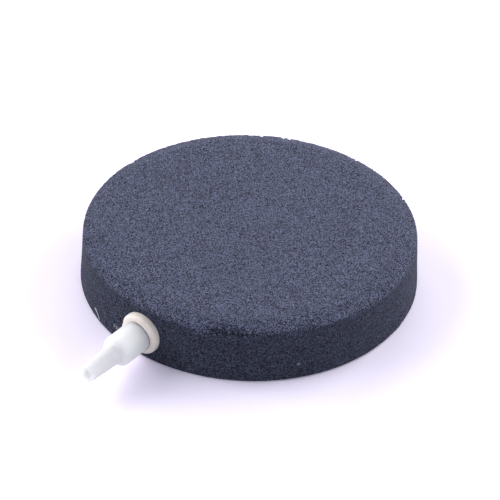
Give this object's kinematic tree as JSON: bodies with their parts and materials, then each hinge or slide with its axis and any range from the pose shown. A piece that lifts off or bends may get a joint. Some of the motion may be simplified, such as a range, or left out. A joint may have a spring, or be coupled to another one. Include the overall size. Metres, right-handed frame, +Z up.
{
  "type": "fine bubble disc diffuser",
  "caption": "Round fine bubble air diffuser: a flat porous disc of bonded grit, with a bevelled top and a stepped hose nozzle in a flanged bush in its side.",
  "frame": {"origin": "centre of the disc's flat foot, on the surface that it rests on", "axes": "+Z up through the disc, square to its foot; the hose nozzle points along -Y"},
  "size_m": [0.1, 0.1218, 0.0175],
  "materials": {
    "bonded_grit": "matte",
    "ivory_plastic": "satin",
    "milky_plastic": "satin"
  },
  "bodies": {
    "root": {"stone_disc": "bonded_grit", "inlet_bush": "ivory_plastic", "stepped_nozzle": "milky_plastic"}
  },
  "joints": []
}
